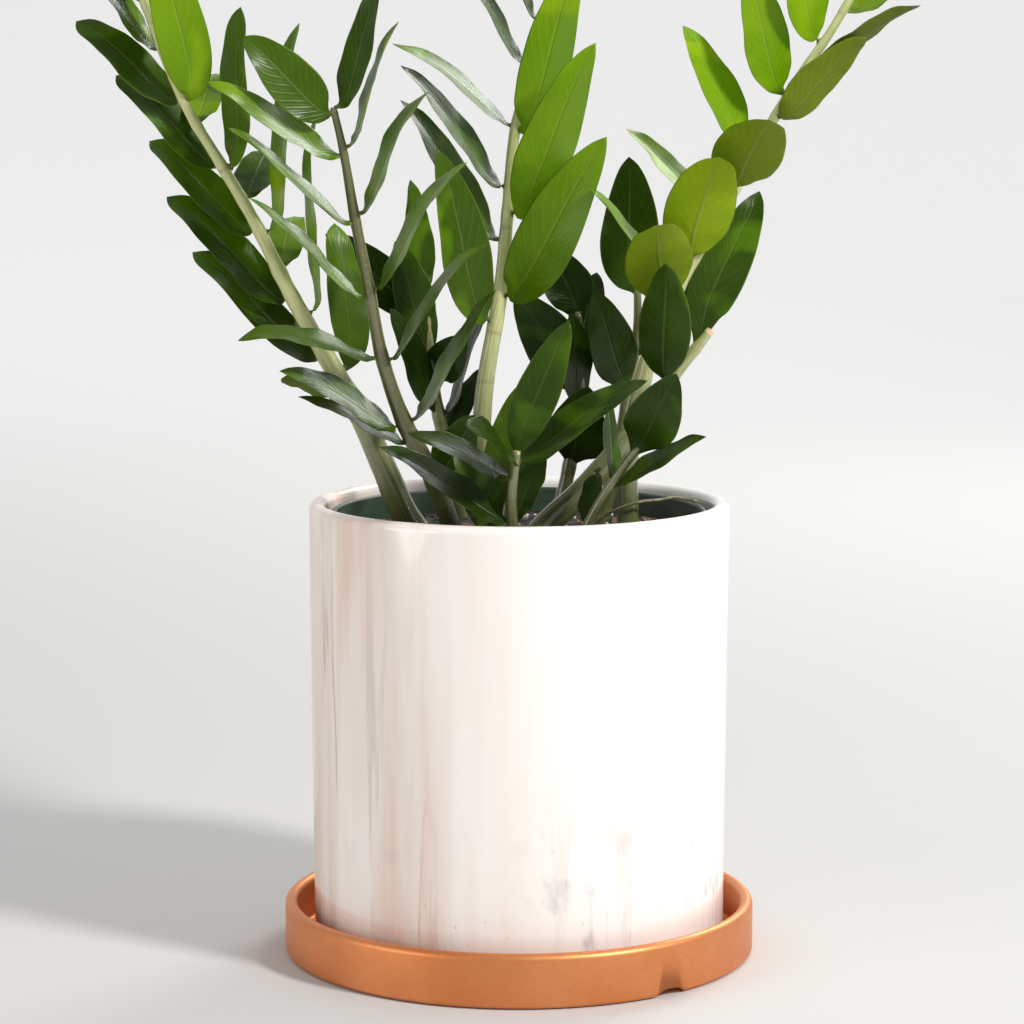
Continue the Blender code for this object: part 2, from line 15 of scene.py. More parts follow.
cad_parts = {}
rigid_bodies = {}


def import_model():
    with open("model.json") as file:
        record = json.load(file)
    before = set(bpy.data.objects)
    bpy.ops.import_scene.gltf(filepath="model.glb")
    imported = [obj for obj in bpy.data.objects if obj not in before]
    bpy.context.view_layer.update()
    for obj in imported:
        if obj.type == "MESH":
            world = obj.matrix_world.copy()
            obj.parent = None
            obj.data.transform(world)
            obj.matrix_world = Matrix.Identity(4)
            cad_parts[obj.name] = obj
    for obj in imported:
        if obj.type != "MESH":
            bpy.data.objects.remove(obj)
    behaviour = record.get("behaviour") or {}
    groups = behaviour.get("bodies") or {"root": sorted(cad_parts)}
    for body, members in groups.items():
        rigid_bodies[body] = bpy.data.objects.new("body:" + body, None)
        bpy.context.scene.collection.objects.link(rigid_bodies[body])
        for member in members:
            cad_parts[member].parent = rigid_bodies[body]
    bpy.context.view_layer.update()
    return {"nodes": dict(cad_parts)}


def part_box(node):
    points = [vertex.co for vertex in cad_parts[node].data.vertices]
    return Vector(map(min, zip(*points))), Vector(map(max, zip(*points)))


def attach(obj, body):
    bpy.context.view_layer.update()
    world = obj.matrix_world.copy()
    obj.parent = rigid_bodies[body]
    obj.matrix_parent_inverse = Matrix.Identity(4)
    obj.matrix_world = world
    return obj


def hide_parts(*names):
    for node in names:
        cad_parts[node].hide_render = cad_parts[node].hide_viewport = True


for startup_thing in list(bpy.data.objects):
    bpy.data.objects.remove(startup_thing)
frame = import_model()
nodes = frame["nodes"]
MM = 0.001

# %% [markdown]
# The camera is a long lens a little above the planter's rim, tilted down a few degrees, so that the
# planter's sides stay upright. It comes first, because every later choice is judged through it.

# %% Camera
camera_data = bpy.data.cameras.new("camera")
camera_data.sensor_width = 36
camera_data.lens = 110.0
camera = bpy.data.objects.new("camera", camera_data)
camera.location = (-0.003, -1.3161, 0.3593)
camera.rotation_euler = (math.radians(90 - 7.406), 0, 0)
bpy.context.scene.collection.objects.link(camera)
bpy.context.scene.camera = camera
print("lens:", camera_data.lens, "mm")

# %% [markdown]
# A studio sweep is one sheet that lies flat and then curves up behind the object, so no line shows
# where the floor ends. It is a square with its back edge extruded up, and the crease bevelled round.

# %% Studio sweep
def link(obj):
    bpy.context.scene.collection.objects.link(obj)
    return obj


def object_of(name, bm, materials=()):
    mesh = bpy.data.meshes.new(name)
    bm.to_mesh(mesh)
    bm.free()
    for finish in materials:
        mesh.materials.append(finish)
    mesh.polygons.foreach_set("use_smooth", [True] * len(mesh.polygons))
    return link(bpy.data.objects.new(name, mesh))


SWEEP_HALF, SWEEP_HEIGHT, SWEEP_BEND, BEND_STEPS = 4, 5, 1.8, 24  # metres, and steps

sweep = bmesh.new()
bmesh.ops.create_grid(sweep, x_segments=1, y_segments=1, size=SWEEP_HALF)
back = [edge for edge in sweep.edges if all(vert.co.y > 0 for vert in edge.verts)]
risen = bmesh.ops.extrude_edge_only(sweep, edges=back)["geom"]
lifted = [item for item in risen if isinstance(item, bmesh.types.BMVert)]
bmesh.ops.translate(sweep, vec=(0, 0, SWEEP_HEIGHT), verts=lifted)
crease = [edge for edge in sweep.edges if all(vert.co.y > 0 and vert.co.z < 1 for vert in edge.verts)]
bmesh.ops.bevel(
    sweep, geom=crease, offset=SWEEP_BEND, offset_type="OFFSET", affect="EDGES", segments=BEND_STEPS,
    profile=0.5, material=-1,
)
studio = object_of("studio_sweep", sweep)
print("sweep faces:", len(studio.data.polygons))

# %% [markdown]
# The light is soft all round, from a pale world. One lamp high at the front right puts the bright
# streaks on the leaves and the lip, one behind shines through the young leaves, and a weak, broad one
# at the left keeps the shade open.

# %% Lights
def lamp(name, place, target, size, power, colour):
    data = bpy.data.lights.new(name, "AREA")
    data.shape = "DISK"
    data.size = size
    data.energy = power
    data.color = colour
    made = link(bpy.data.objects.new(name, data))
    made.location = place
    made.rotation_euler = (Vector(target) - Vector(place)).to_track_quat("-Z", "Y").to_euler()
    return made


heart = (0, 0, 0.28)  # the middle of the plant, in metres
lamps = (
    lamp("key_lamp", (1.5, -1.15, 1.6), heart, size=0.36, power=50, colour=(1.0, 0.985, 0.955)),
    lamp("back_lamp", (0.9, 1.5, 1.5), heart, size=0.9, power=20, colour=(1.0, 1.0, 0.97)),
    lamp("side_lamp", (-1.5, -0.9, 0.5), heart, size=1.0, power=8, colour=(1.0, 0.95, 0.90)),
)
world = bpy.data.worlds.new("pale_room")
world.use_nodes = True
room = world.node_tree.nodes["Background"].inputs
room["Color"].default_value = (0.97, 0.985, 1.0, 1)
room["Strength"].default_value = 0.52
bpy.context.scene.world = world
bpy.context.scene.view_settings.view_transform = "Standard"
print("lamps:", [made.name for made in lamps])

# %% [markdown]
# A finish is a tree of shader nodes. Writing them by hand takes many lines, so a small class wraps a
# socket and lets Python's own signs add the Math nodes, and one method adds any other node.

# %% Writing shaders as sums
class Value:
    """A node's output, which Python's signs turn into Math nodes."""

    def __init__(self, tree, socket):
        self.tree = tree
        self.socket = socket

    def math(self, operation, *others):
        return self.tree.add("Math", {"operation": operation}, dict(enumerate((self, *others))))

    def __add__(self, other):
        return self.math("ADD", other)

    def __sub__(self, other):
        return self.math("SUBTRACT", other)

    def __rsub__(self, other):
        return self.tree.add("Math", {"operation": "SUBTRACT"}, {0: other, 1: self})

    def __mul__(self, other):
        return self.math("MULTIPLY", other)

    def __pow__(self, other):
        return self.math("POWER", other)

    def __abs__(self):
        return self.math("ABSOLUTE")

    __radd__ = __add__
    __rmul__ = __mul__

    def step(self, low, high):
        """0 under low, 1 over high, and smooth between them."""
        limits = {"Value": self, "From Min": low, "From Max": high}
        return self.tree.add("MapRange", {"interpolation_type": "SMOOTHSTEP"}, limits)


class Finish:
    """A material, with its shader and one method that adds any node."""

    def __init__(self, name, roughness=0.5, **constants):
        self.material = bpy.data.materials.new(name)
        self.material.use_nodes = True
        self.tree = self.material.node_tree
        self.shader = self.tree.nodes["Principled BSDF"]
        self.shader.inputs["Roughness"].default_value = roughness
        for socket, value in constants.items():
            self.shader.inputs[socket.replace("_", " ")].default_value = value

    def add(self, kind, settings, inputs, output=0):
        node = self.tree.nodes.new("ShaderNode" + kind)
        for key, value in settings.items():
            setattr(node, key, value)
        for key, value in inputs.items():
            self.feed(node.inputs[key], value)
        return Value(self, node.outputs[output])

    def feed(self, socket, value):
        if isinstance(value, Value):
            self.tree.links.new(value.socket, socket)
        elif isinstance(value, tuple) and len(value) == 3 and socket.type == "RGBA":
            socket.default_value = (*value, 1)
        else:
            socket.default_value = value

    def mix(self, share, first, second):
        """A colour between two colours."""
        return self.add("Mix", {"data_type": "RGBA"}, {0: share, 6: first, 7: second}, 2)

    def place(self, scale=(1, 1, 1)):
        """Object coordinates, stretched."""
        where = self.add("TexCoord", {}, {}, "Object")
        return self.add("Mapping", {}, {"Vector": where, "Scale": scale})

    def part_of(self, vector, axis):
        """One number of a vector: 0 for X, 1 for Y or 2 for Z."""
        return self.add("SeparateXYZ", {}, {0: vector}, axis)

    def uv(self, name):
        """A UV map, and the two numbers in it."""
        pair = self.add("UVMap", {"uv_map": name}, {})
        return pair, self.part_of(pair, 0), self.part_of(pair, 1)

    def noise(self, vector, scale, detail=3.0, distortion=0.0):
        settings = {"Vector": vector, "Scale": scale, "Detail": detail, "Distortion": distortion}
        return self.add("TexNoise", {}, settings)

    def finish(self, colour, roughness=None, height=None, depth=0.0005, strength=0.6):
        """Joins colour, roughness and relief to the shader."""
        self.feed(self.shader.inputs["Base Color"], colour)
        if roughness is not None:
            self.feed(self.shader.inputs["Roughness"], roughness)
        if height is not None:
            bump = self.add("Bump", {}, {"Strength": strength, "Distance": depth, "Height": height}, "Normal")
            self.feed(self.shader.inputs["Normal"], bump)
        return self.material


print("methods of a value:", [name for name in vars(Value) if not name.startswith("_")])

# %% [markdown]
# The sweep is plain pale paper. It glows a little towards the back, so that the wall is as pale as the
# floor near the lamps.

# %% Sweep paper
sweep_paper = Finish("sweep_paper", 0.9, Emission_Strength=0.42)
far = sweep_paper.part_of(sweep_paper.place(), 1).step(0.2, 3.0)
glow = sweep_paper.mix(far, (0.0, 0.0, 0.0), (1.0, 1.0, 1.0))
sweep_paper.feed(sweep_paper.shader.inputs["Emission Color"], glow)
studio.data.materials.append(sweep_paper.finish((0.57, 0.565, 0.56)))
print("sweep paper nodes:", len(sweep_paper.tree.nodes))

# %% [markdown]
# A zz leaflet is thick and waxy. Its upper side is deep green, painted bright yellow-green where a lamp
# shines through it and nearly black where it lies in shade. A pale midrib runs down it, side veins lean
# forward from the midrib, and the underside is duller, with grey-green stripes between the veins. The
# lowest leaflets get painted shade, darker the lower they hang. The pattern follows the blade, so it
# reads UV maps: "blade" holds the share of the length and the place across, and "side" holds 1 on the
# underside and how much painted light the leaflet gets.

# %% Leaf colours
# Each pair is the colour of a leaflet painted in shade and of one painted as lit through by a lamp.
UPPER = (0.013, 0.036, 0.0005), (0.21, 0.41, 0.002)
CLOUDED = (0.036, 0.090, 0.001), (0.32, 0.53, 0.008)
# The next pair is painted dappled light: brighter patches where lamp light falls on a blade.
DAPPLED_LIGHT = (0.075, 0.185, 0.001), (0.36, 0.56, 0.006)
VEINED = (0.06, 0.12, 0.015), (0.31, 0.52, 0.05)
LOWER = (0.026, 0.036, 0.002), (0.40, 0.58, 0.008)
STRIPED = (0.075, 0.095, 0.028), (0.52, 0.68, 0.03)
MIDRIB = (0.13, 0.17, 0.05), (0.42, 0.52, 0.08)
MARGIN, LEAF_FOOT, DEEP_SHADE = (0.16, 0.26, 0.03), (0.17, 0.21, 0.05), (0.010, 0.020, 0.002)
LIT_THROUGH = (0.27, 0.46, 0.01)
# Painted shade darkens leaflets below the first height, fading out by the second.
SHADE_BELOW, LIT_ABOVE = 0.21, 0.34  # metres over the floor
print("pairs of leaf colours:", len((UPPER, CLOUDED, DAPPLED_LIGHT, VEINED, LOWER, STRIPED, MIDRIB)))

# %% [markdown]
# Each layer of the pattern is a mask between 0 and 1, and mixes one more colour in. The last step lets
# light through the blade, because a lamp behind a leaf makes it glow yellow-green.

# %% Leaf finish
def upper_colour(leaf, leaf_light, cloud, vein):
    """Green with clouds, with painted dapples of light in a brighter green, and with pale side veins."""
    # Painted dappled light: brighter patches where lamp light falls.
    light_dapple = leaf.noise(leaf.place(), 30, 1, 1.0).step(0.52, 0.66)
    colour = leaf.mix(cloud.step(0.35, 0.75) * 0.55, leaf.mix(leaf_light, *UPPER), leaf.mix(leaf_light, *CLOUDED))
    colour = leaf.mix(light_dapple * 0.85, colour, leaf.mix(leaf_light, *DAPPLED_LIGHT))
    return leaf.mix(vein * 0.22, colour, leaf.mix(leaf_light, *VEINED))


def let_light_through(leaf, share):
    glow = leaf.add("BsdfTranslucent", {}, {"Color": LIT_THROUGH})
    skin = Value(leaf, leaf.shader.outputs[0])
    mixed = leaf.add("MixShader", {}, {0: share, 1: skin, 2: glow})
    leaf.feed(leaf.tree.nodes["Material Output"].inputs["Surface"], mixed)


def leaf_finish():
    leaf = Finish("leaf_wax", 0.3, Specular_IOR_Level=0.2)
    _, along, across = leaf.uv("blade")
    # The side map also gives how much painted light the leaflet gets, from shade to lit through.
    _, under, leaf_light = leaf.uv("side")
    out = abs(across)
    cloud = leaf.noise(leaf.place(), 34, 3)
    grain = leaf.noise(leaf.place(), 420, 2)
    slant = along * 12 - out * 2.9 + cloud * 1.3 + leaf_light * 3
    ripple = (slant * math.tau).math("SINE") * 0.5 + 0.5
    vein = ripple ** 7 * out.step(0.03, 0.12) * (1 - out.step(0.8, 0.97))
    midrib = 1 - out.step(0.022, 0.075)
    # Painted shade on the leaflets low in the plant.
    low_shade = 1 - leaf.part_of(leaf.place(), 2).step(SHADE_BELOW, LIT_ABOVE)
    lower = leaf.mix(ripple ** 2 * 0.24, leaf.mix(leaf_light, *LOWER), leaf.mix(leaf_light, *STRIPED))
    colour = leaf.mix(under, upper_colour(leaf, leaf_light, cloud, vein), lower)
    colour = leaf.mix(midrib * (0.4 + under * 0.3), colour, leaf.mix(leaf_light, *MIDRIB))
    colour = leaf.mix(out.step(0.93, 0.985) * 0.6, colour, MARGIN)
    colour = leaf.mix(low_shade * 0.62, colour, DEEP_SHADE)
    colour = leaf.mix((1 - along.step(0.0, 0.07)) * 0.75, colour, LEAF_FOOT)
    height = midrib * (under * 2.2 - 1.0) * 0.9 - vein * 0.16 * (1 - under)
    height = height + ripple * 0.10 + cloud * 0.6 + grain * 0.08
    made = leaf.finish(colour, 0.22 + cloud * 0.14 + under * 0.28, height, 0.0007, 0.55)
    let_light_through(leaf, (0.10 + leaf_light * 0.28) * (1 - low_shade * 0.6))
    return made


leaf_wax = leaf_finish()
print("leaf finish nodes:", len(leaf_wax.node_tree.nodes))

# %% [markdown]
# A stem is a juicy, waxy stalk: yellow-green above and browner near the soil, with painted shade
# darkening it low down near the soil, fine streaks along it and dark rings where old leaflets fell. Map
# "stem" holds the length in decimetres and the share of the way round. Map "tint" holds the height over
# the soil, in fifths of a metre, and the stem's own darkness.

# %% Stem finishes
# The first colour of a pair lies between the streaks, and the second on them.
GREEN_SKIN = (0.40, 0.43, 0.14), (0.68, 0.70, 0.35)
BROWN_SKIN = (0.110, 0.120, 0.030), (0.31, 0.33, 0.125)
# The second colour here is painted shade on the stems low down, near the soil.
DARK_SKIN, SHADED_SKIN = (0.065, 0.055, 0.020), (0.026, 0.036, 0.008)
SCAR, FLECK = (0.05, 0.045, 0.015), (0.42, 0.42, 0.24)
FLESH = (0.58, 0.36, 0.22), (0.78, 0.58, 0.42)


def stem_finish():
    stem = Finish("stem_skin", 0.3, Specular_IOR_Level=0.7, Coat_Weight=0.7, Coat_Roughness=0.16)
    pair, length, _ = stem.uv("stem")
    _, above_soil, dark = stem.uv("tint")
    streak = stem.noise(stem.add("Mapping", {}, {"Vector": pair, "Scale": (2.2, 26, 1)}), 3.2, 4)
    fleck = stem.noise(stem.place(), 900, 2)
    cloud = stem.noise(stem.place(), 60, 3)
    ring = ((length * 4.6 + cloud * 0.25) * math.tau).math("SINE") * 0.5 + 0.5
    ring = ring ** 60 * cloud.step(0.45, 0.6)
    brown = (1 - above_soil.step(0.05, 0.55)) * 0.85 + dark
    on_streak = streak.step(0.3, 0.7)
    # Painted shade on the lowest part of each stem, near the soil.
    pot_shade = 1 - stem.part_of(stem.place(), 2).step(0.18, 0.27)
    green_skin, brown_skin = stem.mix(on_streak, *GREEN_SKIN), stem.mix(on_streak, *BROWN_SKIN)
    colour = stem.mix(brown.math("MINIMUM", 1.0), green_skin, brown_skin)
    colour = stem.mix(dark.step(0.75, 1.0), colour, DARK_SKIN)
    colour = stem.mix(pot_shade * 0.68, colour, SHADED_SKIN)
    colour = stem.mix(ring * 0.3, colour, SCAR)
    colour = stem.mix(fleck.step(0.62, 0.72) * 0.25, colour, FLECK)
    height = streak * 0.2 + fleck * 0.1 - ring * 0.4
    return stem.finish(colour, 0.22 + cloud * 0.14, height, 0.0004, 0.35)


def cut_finish():
    cut = Finish("cut_flesh", 0.6)
    spots = cut.noise(cut.place(), 700, 3)
    return cut.finish(cut.mix(spots.step(0.35, 0.7), *FLESH), None, spots, 0.0004)


stem_skin = stem_finish()
cut_flesh = cut_finish()
print("stem finish nodes:", len(stem_skin.node_tree.nodes))

# %% [markdown]
# Leaves and stems are both tubes whose section changes on the way: flat as a lens in a blade, round in
# a stem. A grid rolled up makes either. Each of its points has a share along and a share round, which
# a piece turns into a place. The two edges that meet are then merged, and open ends are filled.

# %% A rolled grid
ROUND_AGAIN = 0.9999  # a share round that is back at the start
MERGE_AT = 0.002 * MM


def cap_ends(bm, fresh):
    rim = [edge for vert in fresh for edge in vert.link_edges if edge.is_boundary]
    bmesh.ops.holes_fill(bm, edges=list(set(rim)), sides=0)


def roll(bm, along, around, place, maps, slot=0):
    """Adds a tube. place and each map take the shares along and round, and a map the face's own too."""
    before = set(bm.verts)
    bmesh.ops.create_grid(bm, x_segments=along, y_segments=around, size=0.5)
    fresh = [vert for vert in bm.verts if vert not in before]
    faces = {face for vert in fresh for face in vert.link_faces}
    for name, value in maps.items():
        layer = bm.loops.layers.uv.get(name) or bm.loops.layers.uv.new(name)
        for face in faces:
            face_round = face.calc_center_median().y + 0.5
            for loop in face.loops:
                loop[layer].uv = value(loop.vert.co.x + 0.5, loop.vert.co.y + 0.5, face_round)
    for vert in fresh:
        u, v = vert.co.x + 0.5, vert.co.y + 0.5
        vert.co = place(u, v % 1.0 if v < ROUND_AGAIN else 0.0)
    for face in faces:
        face.material_index = slot
    bmesh.ops.remove_doubles(bm, verts=fresh, dist=MERGE_AT)
    return [vert for vert in bm.verts if vert not in before]


print("a rolled tube merges points nearer than", MERGE_AT / MM, "mm")

# %% [markdown]
# A stem's route is the same row of points that the CAD model was drawn from: across, back, height over
# the soil, and radius, in millimetres. They also tell where a leaflet starts, when its own foot is
# hidden in its neighbours.

# %% Stem routes
STEMS = {
    "left": (
        (-44, -8, 0, 6.4), (-49, -10, 10, 6.0), (-56, -12, 27, 5.4), (-66, -15, 50, 4.6),
        (-79, -18, 74, 3.8), (-95, -20, 103, 3.1), (-109, -22, 132, 2.6), (-122, -25, 155, 2.3),
        (-137, -27, 181, 2.0), (-149, -29, 212, 1.8), (-158, -30, 240, 1.6), (-164, -31, 268, 1.3),
    ),
    "centre_left": (
        (-27, -24, 0, 4.4), (-30, -26, 10, 4.1), (-37, -29, 30, 3.8), (-47, -32, 49, 3.4),
        (-56, -36, 76, 2.8), (-61, -40, 104, 2.4), (-67, -42, 136, 2.1), (-71, -44, 161, 1.7),
        (-75, -45, 179, 1.4),
    ),
    "centre": (
        (-10, -10, 0, 5.0), (-12, -10, 10, 4.6), (-15, -10, 27, 4.3), (-16, -10, 43, 4.1),
        (-14, -8, 66, 3.7), (-8, -5, 102, 3.0), (-5, -3, 134, 2.6), (-2, -1, 168, 2.3),
        (4, 0, 192, 2.1), (10, 1, 215, 1.9), (16, 2, 244, 1.7), (20, 3, 274, 1.4), (22, 4, 290, 1.2),
    ),
    "right": (
        (46, 0, 0, 4.8), (46, 0, 10, 4.6), (46, 0, 30, 4.4), (50, -3, 56, 3.9), (58, -6, 86, 3.4),
        (70, -9, 112, 3.0), (84, -12, 136, 2.6), (98, -15, 162, 2.3), (113, -17, 188, 2.0),
        (129, -19, 212, 1.8), (143, -21, 238, 1.6), (154, -23, 264, 1.3),
    ),
    "cut": (
        (6, -34, 0, 6.0), (12, -31, 8, 5.7), (25, -27, 20, 5.2), (39, -24, 36, 4.4),
        (50, -21, 50, 3.6), (61, -18, 64, 2.9), (71, -15, 76, 2.3), (80, -13, 87, 1.9),
    ),
    "front_right": (
        (25, -50, 0, 2.4), (27, -52, 8, 2.2), (33, -54, 20, 2.0), (41, -57, 33, 1.7),
        (48, -60, 43, 1.4),
    ),
    "front": (
        (-3, -60, 0, 2.6), (-3, -61, 8, 2.4), (-3, -63, 24, 2.0), (-1, -65, 42, 1.6),
    ),
    "low_centre": (
        (-7, -42, 0, 2.6), (-7, -42, 6, 2.4), (-6, -42, 12, 2.0), (-5, -42, 18, 1.7),
    ),
    "back_left": (
        (-24, 42, 0, 4.0), (-26, 42, 8, 3.7), (-31, 42, 28, 3.2), (-36, 41, 52, 2.6),
        (-39, 40, 78, 2.1), (-41, 38, 100, 1.6),
    ),
    "back_centre": (
        (16, 30, 0, 3.6), (18, 30, 8, 3.3), (22, 30, 26, 2.8), (26, 28, 54, 2.3), (26, 26, 78, 1.9),
        (25, 25, 92, 1.6),
    ),
    "back_right": (
        (36, 38, 0, 3.8), (38, 38, 8, 3.5), (43, 37, 30, 3.0), (48, 35, 60, 2.4), (51, 32, 84, 1.9),
        (51, 30, 102, 1.6),
    ),
}

soil_low, soil_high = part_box("soil")
SOIL_CROWN = 1.5 * MM
SOIL_EDGE = soil_high.z - SOIL_CROWN
SOIL_RADIUS = soil_high.x
STEM_BURIED = 24 * MM


def stem_points(name):
    points = [(Vector((x * MM, y * MM, SOIL_EDGE + z * MM)), r * MM) for x, y, z, r in STEMS[name]]
    foot, radius = points[0]
    return [(foot - Vector((0, 0, STEM_BURIED)), radius)] + points


def lengths_of(points):
    sums = [0.0]
    for (low, _), (high, _) in zip(points, points[1:]):
        sums.append(sums[-1] + (high - low).length)
    return sums


print("stems:", {name: round(lengths_of(stem_points(name))[-1] / MM) for name in STEMS})

# %% [markdown]
# A CAD leaflet is eight rings of four corners and a tip: left edge, upper ridge, right edge, lower
# ridge. Walking outwards from the tip finds the rings in order. A tip is the sharpest kind of corner,
# where the angles of its faces add up to little, so the same walk finds the leaflets in a joined frond.
# Where a leaflet runs into a neighbour or its stem, the walk stops, and the foot is worked out instead.

# %% Read the leaflets from the CAD model
SHARP = math.radians(210)  # the most that a tip's face angles add up to
RING_SHARES = (0.94, 0.84, 0.68, 0.5, 0.32, 0.16, 0.05, 0.0)  # of the length, from the tip
FEWEST_RINGS = 4  # fewer than this is a corner of something else
AT_FOOT = 0.1  # a first ring nearer the stem than this share needs no more


def merged_copy(node):
    bm = bmesh.new()
    bm.from_mesh(nodes[node].data)
    bmesh.ops.remove_doubles(bm, verts=bm.verts, dist=0.000001)
    return bm


def corner_sum(vert):
    return sum(loop.calc_angle() for loop in vert.link_loops)


def rings_from(tip):
    """Rings of four corners, from the one next to the tip towards the stem."""
    seen = {tip}
    ring = [tip]
    found = []
    while len(found) < len(RING_SHARES):
        near = {edge.other_vert(vert) for vert in ring for edge in vert.link_edges}
        ring = sorted(near - seen, key=lambda vert: vert.co[:])  # a set's own order changes from run to run
        if len(ring) != 4:
            break
        seen.update(ring)
        found.append([vert.co.copy() for vert in ring])
    return found


def station(ring, lead):
    """A ring's middle, half side vector, upward normal and half thickness."""
    pairs = [(a, b) for i, a in enumerate(ring) for b in ring[i + 1:]]
    left, right = max(pairs, key=lambda pair: (pair[0] - pair[1]).length)
    top, bottom = [corner for corner in ring if corner is not left and corner is not right]
    middle_point = (top + bottom) / 2
    side = (right - left) / 2
    thick = (top - bottom).length / 2
    up = (top - bottom).normalized()
    if ((left + right) / 2 - middle_point).dot(up) < 0:
        up = -up
    if side.cross(up).dot(lead) > 0:
        side = -side
    return middle_point, side, up, thick


def outline(t):
    """Half width of a CAD blade along its length, as a share of the widest."""
    return max(0.12, math.sin(math.pi * t) ** 0.85)


def with_foot(stations, points):
    """Adds the stations between the first one found and the stem."""
    first, middle_point, side, up, thick = stations[0]
    if first < AT_FOOT:
        return stations
    guess = middle_point + (middle_point - stations[-1][1]) * (first / (1 - first))
    parts = 20
    spots = [
        low.lerp(high, k / parts) for (low, _), (high, _) in zip(points, points[1:]) for k in range(parts + 1)
    ]
    foot = min(spots, key=lambda spot: (spot - guess).length)
    added = [
        (share, foot.lerp(middle_point, share / first), side * (outline(share) / outline(first)), up, thick)
        for share in sorted(RING_SHARES) if share < first
    ]
    return added + stations


def leaflets_of(node):
    """Each leaflet of a node, as its stations from the stem to the tip."""
    bm = merged_copy(node)
    found = []
    for tip in [vert for vert in bm.verts if corner_sum(vert) < SHARP and len(vert.link_edges) == 4]:
        rings = rings_from(tip)
        if len(rings) < FEWEST_RINGS:
            continue
        lead = (tip.co - sum(rings[-1], Vector()) / 4).normalized()
        stations = [(share, *station(ring, lead)) for share, ring in zip(RING_SHARES, rings)]
        stations.reverse()
        _, _, side, up, thick = stations[-1]
        stations.append((1.0, tip.co.copy(), side * 0.02, up, thick * 0.3))
        if node.endswith("_stem"):
            stations = with_foot(stations, stem_points(node.removesuffix("_stem")))
        found.append(stations)
    bm.free()
    return found


leaflets = {node: leaflets_of(node) for node in nodes if "leaflet" in node or node.endswith("_stem")}
print("leaflets found:", sum(len(found) for found in leaflets.values()))

# %% [markdown]
# The stations are few, so a smooth curve is drawn through them. It is the cubic that passes each
# station with the slope between its two neighbours.

# %% A smooth curve
def curve_value(knots, values, t):
    """A smooth value at t, through values at rising knots."""
    last = len(knots) - 1
    k = max(i for i in range(last) if knots[i] <= t or i == 0)
    low, high = values[k], values[k + 1]
    span = knots[k + 1] - knots[k]
    slopes = []
    for i in (k, k + 1):
        before, after = max(i - 1, 0), min(i + 1, last)
        slopes.append((values[after] - values[before]) * (span / (knots[after] - knots[before])))
    s = (t - knots[k]) / span
    return (
        low * (1 - 3 * s * s + 2 * s ** 3) + high * (3 * s * s - 2 * s ** 3)
        + slopes[0] * (s - 2 * s * s + s ** 3) + slopes[1] * (s ** 3 - s * s)
    )


print("halfway from 0 to 1:", curve_value([0, 1], [0, 1], 0.5))

# %% [markdown]
# Each leaflet gets what the plain CAD blade lacks: a lens section with thin edges, a hollow along the
# midrib, a gentle wave in its margins, a fuller tip where this frond's leaflets are blunt, and a thick
# little stalk that runs into the stem.

# %% Leaflet shape
LEAF_ROWS, LEAF_ROUND = 30, 20
STALK_START, STALK_SINK = -0.06, 1.6 * MM  # a share of the length, and how far it runs into the stem
WAVE, GROOVE, THINNEST = 0.55 * MM, 0.22 * MM, 0.08 * MM
CROWDING = 0.045  # draws the rows towards both ends


def fullness(t, blunt):
    """How much wider than the CAD blade a leaflet is, towards its tip."""
    return 1 + 6 * blunt * max(0.0, t) ** 10


def lengthened(stations):
    """The stations in columns, with one more station inside the stem."""
    knots, centres, sides, ups, thicks = [list(column) for column in zip(*stations)]
    sunk = centres[0] + (centres[0] - centres[1]).normalized() * STALK_SINK
    return (
        [STALK_START] + knots, [sunk] + centres, [sides[0] * 0.8] + sides, [ups[0]] + ups,
        [thicks[0]] + thicks,
    )


def margin_wave(dice):
    """How far a leaflet's margins rise and fall, different in each."""
    turns, phase, lean = dice.uniform(1.6, 2.6), dice.uniform(0, math.tau), dice.uniform(-0.15, 0.15)

    def wave(t, across):
        slow = math.sin(math.tau * turns * t + phase + lean * across) * across ** 2
        fast = math.sin(math.tau * 2.3 * turns * t + phase * 2) * across
        return WAVE * (slow + 0.4 * fast)

    return wave


def add_leaflet(bm, stations, leaf_light, seed, slot=0, blunt=0.0, flipped=False):
    knots, centres, sides, ups, thicks = lengthened(stations)
    wave = margin_wave(random.Random(seed))

    def share_of(u):
        return STALK_START + (1 - STALK_START) * (u - CROWDING * math.sin(math.tau * u))

    def place(u, v):
        t = share_of(u)
        side = curve_value(knots, sides, t) * fullness(t, blunt)
        up = curve_value(knots, ups, t).normalized()
        thick = max(curve_value(knots, thicks, t), THINNEST)
        across, over = math.cos(math.tau * v), math.sin(math.tau * v)
        blade = min(1.0, max(0.0, (t - 0.03) / 0.12)) * (1 - max(0.0, t - 0.9) * 8)
        lift = side.length * (0.20 * abs(across) ** 1.35 + 0.03 * math.cos(3 * across))
        lift += wave(t, across) - GROOVE * math.exp(-((across / 0.16) ** 2))
        lens = over * thick * (1 - 0.35 * abs(across))
        return curve_value(knots, centres, t) + side * across + up * (lens + lift * blade)

    def blade_map(u, v, _):
        return max(0.0, share_of(u)), math.cos(math.tau * v)

    def side_map(u, v, face_round):
        return float((face_round > 0.5) != flipped), leaf_light

    fresh = roll(bm, LEAF_ROWS, LEAF_ROUND, place, {"blade": blade_map, "side": side_map}, slot)
    cap_ends(bm, fresh)


print("faces in a leaflet:", LEAF_ROWS * LEAF_ROUND + 2)

# %% [markdown]
# No two leaflets are the same green: those that the lamp shines through are painted a bright
# yellow-green, and those in the heart of the plant are painted nearly black, as shade. A share of painted
# light from 0 to 1 sets it, leaflet by leaflet for the four big fronds, and once for each small one.

